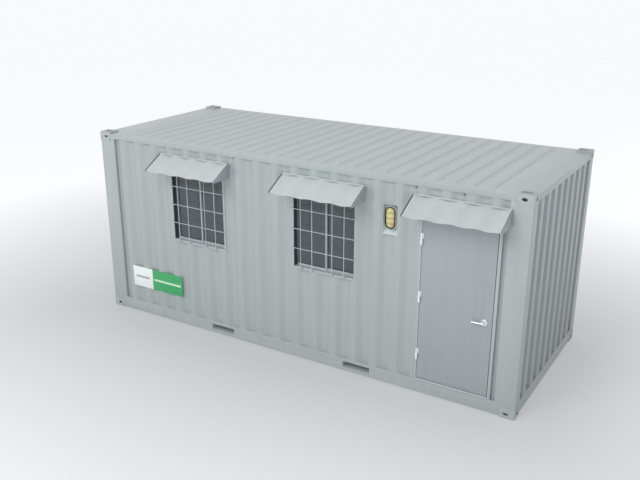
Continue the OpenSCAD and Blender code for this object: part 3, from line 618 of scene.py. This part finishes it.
def loose_boxes(node):
    """The lowest and highest corner of each separate solid of a CAD node."""
    solids = copy_node(node, "solids")
    open_mesh(solids, "VERT")
    bpy.ops.mesh.select_all(action="SELECT")
    bpy.ops.mesh.separate(type="LOOSE")
    close_mesh()
    found = []
    for solid in list(bpy.context.selected_objects):
        points = [v.co for v in solid.data.vertices]
        found.append((Vector([min(p[i] for p in points) for i in range(3)]),
                      Vector([max(p[i] for p in points) for i in range(3)])))
    bpy.ops.object.delete()
    return sorted(found, key=lambda corners: corners[0].x)


rubber, rubber_shader = new_finish("black extruded rubber", Roughness=0.7)
where = add_node(rubber, "ShaderNodeTexCoord", {})
bloom = add_node(rubber, "ShaderNodeTexNoise",
                 {"Vector": (where, "Object"), "Scale": 40.0, "Detail": 4.0})
black = blend(rubber, (bloom, "Fac"), "#0d1011", "#1d2122")
matt = add_node(rubber, "ShaderNodeMapRange",
                {"Value": (bloom, "Fac"), "To Min": 0.6, "To Max": 0.85})
wire(rubber_shader, Base_Color=black.outputs[2], Roughness=matt.outputs[0])
gasket_w = 0.004
gasket_t = 0.004
gaskets = []
for low, high in loose_boxes("window_glass"):
    for near, far in ((low.y - gasket_t, low.y), (high.y, high.y + gasket_t)):
        gasket = between("gasket", (low.x, near, low.z), (high.x, far, high.z))
        hollow_through(gasket, gasket_w)
        soften(gasket, 0.001, 1)
        gaskets.append(gasket)
pane_gaskets = join("pane_gaskets", gaskets)
fit(pane_gaskets, rubber)

# The reveal in front of each frame is lined in dark rubber sheet at both sides and the head,
# and dark side channels cover the outer stiles of the sashes. Both stand as painted shade for
# the deep, shaded reveal.
painted_shade_rubber, painted_shade_rubber_shader = new_finish("dark grey rubber as painted shade", Roughness=0.6)
where = add_node(painted_shade_rubber, "ShaderNodeTexCoord", {})
dust = add_node(painted_shade_rubber, "ShaderNodeTexNoise",
                {"Vector": (where, "Object"), "Scale": 30.0, "Detail": 4.0})
painted_shade_tone = blend(painted_shade_rubber, (dust, "Fac"), "#3a4245", "#4a5356")
wire(painted_shade_rubber_shader, Base_Color=painted_shade_tone.outputs[2])
shade_liner_t = 0.003
channel_w = 0.021
channel_t = 0.002
front_gap = 0.008
shade_liners = []
for low, high in loose_boxes("window_frames"):
    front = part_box("left_window_surround")[0].y + front_gap
    for x0, x1 in ((low.x, low.x + shade_liner_t), (high.x - shade_liner_t, high.x)):
        shade_liners.append(between("shade_liner", (x0, front, low.z), (x1, low.y, high.z)))
    shade_liners.append(between("shade_liner", (low.x, front, high.z - shade_liner_t), (high.x, low.y, high.z)))
    for x0, x1 in ((low.x, low.x + channel_w), (high.x - channel_w, high.x)):
        shade_liners.append(between("channel", (x0, low.y - channel_t, low.z), (x1, low.y, high.z)))
for shade_liner in shade_liners:
    soften(shade_liner, 0.0008, 1)
reveal_shade_liners = join("reveal_shade_liners", shade_liners)
fit(reveal_shade_liners, painted_shade_rubber)


# ------------------------------------------------------------------ glass
# 5 mm grey-tinted float glass. It is dark against the unlit room and mirrors a little of
# the sky.
tinted, tinted_shader = new_finish("grey-tinted float glass", Roughness=0.05, Alpha=0.72)
tinted_shader.inputs["IOR"].default_value = 1.52
where = add_node(tinted, "ShaderNodeTexCoord", {})
haze = add_node(tinted, "ShaderNodeTexNoise",
                {"Vector": (where, "Object"), "Scale": 2.5, "Detail": 3.0})
smoke = blend(tinted, (haze, "Fac"), "#565d62", "#62696e")
wave = add_node(tinted, "ShaderNodeBump",
                {"Height": (haze, "Fac"), "Strength": 0.05, "Distance": 0.001})
wire(tinted_shader, Base_Color=smoke.outputs[2], Normal=wave.outputs[0])
glass = copy_node("window_glass", "window_panes")
soften(glass, 0.0004, 1)
fit(glass, tinted, nodes=["window_glass"])


# ------------------------------------------------------------------ window grilles
# 8 mm square bars, welded where they cross, with their ends turned back and welded to the
# surrounds. They are sprayed a little lighter than the walls.
bar_enamel = sprayed_paint("enamel on square bar", "#bcc4c6", 0.4, 0.005, 0.0003)
bar = 0.008
# Places of the upright bars from the window's middle, and the level ones' spacing
bars_across = (-0.302, -0.140, 0.140, 0.302)
bar_pitch = 0.250
surround_face = 0.028
cross_weld_r = 0.0048
end_weld_r = 0.0055


def weld_blob(radius, place):
    """A small lump of weld metal."""
    bpy.ops.object.select_all(action="DESELECT")
    bpy.ops.mesh.primitive_ico_sphere_add(subdivisions=2, radius=radius, location=place)
    return bpy.context.object


for window in windows:
    grille = copy_node(f"{window}_window_grille", f"{window}_grille")
    soften(grille, 0.0012, 2)
    low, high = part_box(f"{window}_window_grille")
    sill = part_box(f"{window}_window_surround")[0].z + surround_face
    middle = (low.x + high.x) / 2
    rows = [sill + row * bar_pitch for row in (1, 2, 3)]
    blobs = []
    for across in bars_across:
        blobs += [weld_blob(cross_weld_r, (middle + across, low.y + bar, row))
                  for row in rows]
        blobs += [weld_blob(end_weld_r, (middle + across, high.y, foot))
                  for foot in (low.z + bar / 2, high.z - bar / 2)]
    for end in (low.x + bar / 2, high.x - bar / 2):
        blobs += [weld_blob(end_weld_r, (end, high.y, row)) for row in rows]
    welded = join(f"{window}_grille_welds", blobs)
    bpy.ops.object.transform_apply(location=True, rotation=True, scale=True)
    bpy.ops.object.shade_smooth()
    fit(welded, weld_paint)
    fit(grille, bar_enamel, nodes=[f"{window}_window_grille"])


# ------------------------------------------------------------------ awnings
# Shallow waved 2 mm sheet, tilted out over the windows and the door below a flat strip, with
# a cheek welded to each end. The sheet is painted lighter as painted light for its lit top,
# and the cheeks darker as painted shade.
awning_painted_light = sprayed_paint("awning enamel lightened as painted light", "#c8cecf", 0.38, 0.010, 0.0003)
cheek_painted_shade = sprayed_paint("cheek enamel darkened as painted shade", "#a8b0b2", 0.4, 0.010, 0.0003)
cheek_lip = 0.010
flat_strip = 0.030
strip_gap = 0.004
wave_radius = 0.024
# The waves' faces look outwards by more than this share
wave_outward = 0.9
shade_sealant_r = 0.005
post_face = post_low.y
post_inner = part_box("wall_beside_door")[1].x
for place in ("left_window", "middle_window", "door"):
    node = f"{place}_awning"
    low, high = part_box(node)
    skin = copy_node(node, f"{place}_canopy")
    tip = max(v.co.z for v in skin.data.vertices if v.co.y < low.y + 0.0001)
    brow = Vector((0, high.y, high.z))
    fall = (Vector((0, low.y, tip)) - brow).normalized()
    out = Vector((0, fall.z, -fall.y))
    # Only the outer face of the waves stays. The strip and the cheeks, which stand above
    # it, are made anew.
    keep_skin(skin, out, wave_outward)
    open_mesh(skin, "FACE")
    choose(skin, "faces", lambda f: (
        (f.calc_center_median() - brow).dot(out) > gauge / 2 - cheek_lip))
    bpy.ops.mesh.delete(type="FACE")
    close_mesh()
    round_bends(skin, fall, wave_radius, 5)
    thicken(skin, gauge)
    cheeks = []
    for x0 in (low.x, high.x - gauge):
        seat = post_face if x0 > post_inner else high.y
        cheek = between("cheek", (x0, low.y, low.z), (x0 + gauge, seat, high.z))
        open_mesh(cheek, "FACE")
        bpy.ops.mesh.select_all(action="SELECT")
        bpy.ops.mesh.bisect(plane_co=brow, plane_no=out, clear_outer=True, use_fill=True)
        close_mesh()
        soften(cheek, 0.0007, 2)
        cheeks.append(cheek)
    band = between("band", (low.x + gauge, cheek_lip - gauge, -flat_strip),
                   (high.x - gauge, cheek_lip, -strip_gap))
    soften(band, 0.0006, 2)
    band.rotation_euler.x = -Vector((0, 0, -1)).angle(fall)
    band.location = brow
    bpy.ops.object.transform_apply(location=True, rotation=True, scale=True)
    canopy = join(f"{place}_canopy", [skin, band])
    fit(canopy, awning_painted_light, nodes=[node])
    fit(join(f"{place}_awning_cheeks", cheeks), cheek_painted_shade)
    # Dark sealant runs down the joints between the sheet and the cheeks; its dark colour is
    # also painted shade for the shadow line inside each cheek
    length = (Vector((0, low.y, tip)) - brow).length
    halfway = brow + fall * (length + flat_strip) / 2 - out * cheek_lip
    beads = []
    for x in (low.x + gauge + shade_sealant_r, high.x - gauge - shade_sealant_r):
        bpy.ops.object.select_all(action="DESELECT")
        bpy.ops.mesh.primitive_cylinder_add(
            vertices=12, radius=shade_sealant_r, depth=length - flat_strip - 2 * shade_sealant_r,
            location=halfway + Vector((x, 0, 0)),
            rotation=fall.to_track_quat("Z", "X").to_euler())
        beads.append(bpy.context.object)
    shade_sealant = join(f"{place}_awning_shade_sealant", beads)
    bpy.ops.object.transform_apply(location=True, rotation=True, scale=True)
    soften(shade_sealant, 0.0015, 2)
    fit(shade_sealant, painted_shade_rubber)


# ------------------------------------------------------------------ door frame
# A welded pressed-steel frame with a stop all round, sprayed with the trim. A rubber seal
# is pressed on to the stop at both sides and the head.
door_frame = copy_node("door_frame", "steel_door_frame")
soften(door_frame, 0.002, 2)
fit(door_frame, trim_enamel, nodes=["door_frame"])

# A pale coated nosing covers the front edge of the threshold
nosing_h = 0.012
nosing_rise = 0.0015
nosing_out = 0.002
nosing_in = 0.004
leaf_low, leaf_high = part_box("door_leaf")
threshold_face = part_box("door_frame")[0].y
floor_top = deck_high.z
nosing = between("threshold_nosing",
                 (leaf_low.x, threshold_face - nosing_out, floor_top - nosing_h),
                 (leaf_high.x, threshold_face + nosing_in, floor_top + nosing_rise))
soften(nosing, 0.0012, 2)
fit(nosing, coated)

grey_rubber, grey_rubber_shader = new_finish("grey extruded rubber", Roughness=0.65)
where = add_node(grey_rubber, "ShaderNodeTexCoord", {})
chalk = add_node(grey_rubber, "ShaderNodeTexNoise",
                 {"Vector": (where, "Object"), "Scale": 40.0, "Detail": 4.0})
grey = blend(grey_rubber, (chalk, "Fac"), "#a2a8a8", "#b0b6b6")
wire(grey_rubber_shader, Base_Color=grey.outputs[2])
seal_w = 0.009
seal_t = 0.004
stop_gap = 0.005
# How far the seal lies inside the leaf's outline: hinge edge and head, lock edge, foot
past_hinge_edge = 0.011
past_lock_edge = 0.004
past_foot = 0.010
stop = leaf_high.y + stop_gap
left, right = leaf_low.x + past_hinge_edge, leaf_high.x - past_lock_edge
foot, head = leaf_low.z + past_foot, leaf_high.z - past_hinge_edge
tubes = []
for x0, z0, x1, z1 in ((left, foot, left + seal_w, head), (right - seal_w, foot, right, head),
                       (left, head - seal_w, right, head)):
    tube = between("tube", (x0, stop - seal_t, z0), (x1, stop, z1))
    soften(tube, 0.0016, 3)
    tubes.append(tube)
door_seal = join("door_seal", tubes)
fit(door_seal, grey_rubber)


# ------------------------------------------------------------------ door leaf
# Two zinc-coated steel skins folded over a foam core, sprayed a bluer grey than the walls.
leaf_enamel = sprayed_paint("enamel on door skin", "#a4abb0", 0.36, 0.009, 0.0003)
leaf = copy_node("door_leaf", "steel_door_leaf")
soften(leaf, 0.0022, 3)
fit(leaf, leaf_enamel, "door", ["door_leaf"])


# ------------------------------------------------------------------ hinges
# Three lift-off hinges in bright white powder coat: a turned steel knuckle, with one plate
# fixed to the frame and one to the leaf.
white_coat, white_coat_shader = new_finish("white powder coat on steel", Roughness=0.32)
where = add_node(white_coat, "ShaderNodeTexCoord", {})
powder = add_node(white_coat, "ShaderNodeTexNoise",
                  {"Vector": (where, "Object"), "Scale": 120.0, "Detail": 3.0})
white = blend(white_coat, (powder, "Fac"), "#eef2f2", "#f8fbfb")
dull = add_node(white_coat, "ShaderNodeMapRange",
                {"Value": (powder, "Fac"), "To Min": 0.28, "To Max": 0.42})
wire(white_coat_shader, Base_Color=white.outputs[2], Roughness=dull.outputs[0])
for node, body in (("frame_hinges", "cabin"), ("door_hinges", "door")):
    hinge = copy_node(node, f"plated_{node}")
    soften(hinge, 0.001, 2)
    fit(hinge, white_coat, body, [node])


# ------------------------------------------------------------------ door handle
# A stainless lever set: a round rose screwed to each side of the leaf, and a bent round-bar
# lever on each that points to the hinges.
stainless, stainless_shader = new_finish("satin stainless steel", Metallic=0.9, Roughness=0.28)
where = add_node(stainless, "ShaderNodeTexCoord", {})
# Satin lines run along the bar, well under a millimetre apart, drawn at about 1 mm
stretch = add_node(stainless, "ShaderNodeMapping",
                   {"Vector": (where, "Object"), "Scale": (60.0, 900.0, 900.0)})
lines = add_node(stainless, "ShaderNodeTexNoise",
                 {"Vector": (stretch, "Vector"), "Scale": 1.0, "Detail": 3.0})
steel = blend(stainless, (lines, "Fac"), "#dde2e3", "#f0f4f5")
satin = add_node(stainless, "ShaderNodeMapRange",
                 {"Value": (lines, "Fac"), "To Min": 0.22, "To Max": 0.36})
wire(stainless_shader, Base_Color=steel.outputs[2], Roughness=satin.outputs[0])
roses = copy_node("lock_roses", "lever_roses")
soften(roses, 0.003, 4)
fit(roses, stainless, "door", ["lock_roses"])
levers = copy_node("door_levers", "lever_handles")
soften(levers, 0.004, 4)
fit(levers, stainless, "lever", ["door_levers"])


# ------------------------------------------------------------------ lamp
# A bulkhead lamp in a folded steel niche: a pale die-cast body, a domed amber lens in a black
# rim, and a black wire guard over it. The niche and the body are painted pale, as painted
# light that offsets the shade inside the niche.
# Pale enamel on the niche: painted light against its shade
niche_painted_light = sprayed_paint("pale niche enamel as painted light", "#cfd6d6", 0.4, 0.010, 0.0003)
niche = copy_node("lamp_niche", "steel_lamp_niche")
soften(niche, 0.0012, 2)
fit(niche, niche_painted_light, nodes=["lamp_niche"])

cast_black = sprayed_paint("black enamel on die-cast zinc", "#16191a", 0.45, 0.004, 0.0004)
# The body's pale grey is painted light against the shade in the niche
body_painted_light = sprayed_paint("pale body enamel as painted light", "#c8cfcf", 0.45, 0.004, 0.0004)
lamp_body = copy_node("lamp_body", "cast_lamp_body")
soften(lamp_body, 0.003, 3)
fit(lamp_body, body_painted_light, nodes=["lamp_body"])

amber, amber_shader = new_finish("amber polycarbonate", Roughness=0.16)
amber_shader.inputs["IOR"].default_value = 1.58
where = add_node(amber, "ShaderNodeTexCoord", {})
swirl = add_node(amber, "ShaderNodeTexNoise",
                 {"Vector": (where, "Object"), "Scale": 25.0, "Detail": 3.0})
glow = blend(amber, (swirl, "Fac"), "#c6b873", "#dbd19a")
wire(amber_shader, Base_Color=glow.outputs[2])
lens_low, lens_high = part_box("lamp_lens")
lens_middle = (lens_low + lens_high) / 2
lens_r = (lens_high.x - lens_low.x) / 2
lens_stretch = (lens_high.z - lens_low.z) / 2 - lens_r
lens_out = lens_high.y - lens_low.y
lens_lift = 0.001
bpy.ops.object.select_all(action="DESELECT")
bpy.ops.mesh.primitive_uv_sphere_add(segments=64, ring_count=25, radius=lens_r,
                                     location=(lens_middle.x, lens_high.y, lens_middle.z))
lens = bpy.context.object
lens.name = "amber_lens"
lens.scale = (1, lens_out / lens_r, 1)
bpy.ops.object.transform_apply(location=True, rotation=True, scale=True)
for side in (-1, 1):
    open_mesh(lens, "VERT")
    choose(lens, "verts", lambda v: side * (v.co.z - lens_middle.z) > 0)
    bpy.ops.transform.translate(value=(0, 0, side * lens_stretch))
    close_mesh()
open_mesh(lens, "VERT")
bpy.ops.mesh.select_all(action="SELECT")
bpy.ops.mesh.bisect(plane_co=(0, lens_high.y - lens_lift, 0), plane_no=(0, 1, 0),
                    clear_outer=True, use_fill=True)
close_mesh()
pick(lens)
bpy.ops.object.shade_smooth_by_angle(angle=radians(40))
fit(lens, amber, nodes=["lamp_lens"])

# A black rim grips the lens, and three hoops of 4 mm wire guard it
guard_r = 0.002
hoop_lift = 0.002
rim_r = 0.006
rim_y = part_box("lamp_body")[0].y - rim_r / 2
rim = between("lamp_rim", (lens_low.x, rim_y - rim_r, lens_low.z),
              (lens_high.x, rim_y, lens_high.z))
open_mesh(rim, "EDGE")
choose(rim, "edges", lambda e: abs(e.verts[0].co.y - e.verts[1].co.y) > 1e-4)
# A hair less than the full radius, so that the two arcs at each end don't meet
bpy.ops.mesh.bevel(offset=lens_r - 0.0001, segments=16, affect="EDGES")
bpy.ops.mesh.select_all(action="DESELECT")
choose(rim, "verts", lambda v: v.co.y > rim_y - rim_r / 2)
bpy.ops.mesh.delete(type="VERT")
bpy.ops.mesh.select_all(action="SELECT")
bpy.ops.mesh.delete(type="ONLY_FACE")
close_mesh()
lay_bead(rim, rim_r)
fit(rim, cast_black)

hoops = []
for share in (-0.5, 0.0, 0.5):
    height = lens_middle.z + share * (lens_high.z - lens_low.z) / 2
    bpy.ops.object.select_all(action="DESELECT")
    bpy.ops.mesh.primitive_torus_add(major_radius=lens_r + guard_r / 2, minor_radius=guard_r,
                                     major_segments=48, minor_segments=8,
                                     location=(lens_middle.x, lens_high.y, height))
    hoop = bpy.context.object
    hoop.scale = (1, lens_out / lens_r, 1)
    bpy.ops.object.transform_apply(location=True, rotation=True, scale=True)
    open_mesh(hoop, "VERT")
    bpy.ops.mesh.select_all(action="SELECT")
    bpy.ops.mesh.bisect(plane_co=(0, lens_high.y - hoop_lift, 0), plane_no=(0, 1, 0),
                        clear_outer=True, use_fill=True)
    close_mesh()
    bpy.ops.object.shade_smooth_by_angle(angle=radians(50))
    hoops.append(hoop)
lens_guard = join("lens_guard", hoops)
fit(lens_guard, cast_black)


# ------------------------------------------------------------------ sign
# Two aluminium composite panels, one white and one green, glued to the wall crests. Their
# lettering is left out, and plain bars stand in its place.
def vinyl(name, colour, darker):
    """Cut vinyl film on a composite panel: an even, slightly glossy colour."""
    finish, shader = new_finish(name, Roughness=0.3)
    where = add_node(finish, "ShaderNodeTexCoord", {})
    fading = add_node(finish, "ShaderNodeTexNoise",
                      {"Vector": (where, "Object"), "Scale": 5.0, "Detail": 3.0})
    film = blend(finish, (fading, "Fac"), darker, colour)
    skin = add_node(finish, "ShaderNodeTexNoise",
                    {"Vector": (where, "Object"), "Scale": 160.0, "Detail": 2.0})
    press = add_node(finish, "ShaderNodeBump",
                     {"Height": (skin, "Fac"), "Strength": 0.12, "Distance": 0.0002})
    wire(shader, Base_Color=film.outputs[2], Normal=press.outputs[0])
    return finish


white_vinyl = vinyl("white vinyl film", "#f4f8f8", "#e9eeee")
green_vinyl = vinyl("green vinyl film", "#44b06c", "#3ba462")
for colour, film in (("white", white_vinyl), ("green", green_vinyl)):
    panel = copy_node(f"{colour}_sign_panel", f"{colour}_panel")
    soften(panel, 0.0006, 2)
    fit(panel, film, nodes=[f"{colour}_sign_panel"])

# One plain bar of film on each panel
grey_vinyl = vinyl("grey vinyl film", "#a9b6b4", "#a0adab")
pale_vinyl = vinyl("pale vinyl film", "#d3efd9", "#c8e6cf")
bar_h = 0.030
film_t = 0.0004
for colour, film, margin_l, margin_r in (("white", grey_vinyl, 0.050, 0.062),
                                         ("green", pale_vinyl, 0.028, 0.030)):
    low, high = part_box(f"{colour}_sign_panel")
    middle = (low.z + high.z) / 2
    plain_bar = between(f"{colour}_panel_bar",
                        (low.x + margin_l, low.y - film_t, middle - bar_h / 2),
                        (high.x - margin_r, low.y, middle + bar_h / 2))
    soften(plain_bar, 0.0001, 1)
    fit(plain_bar, film)
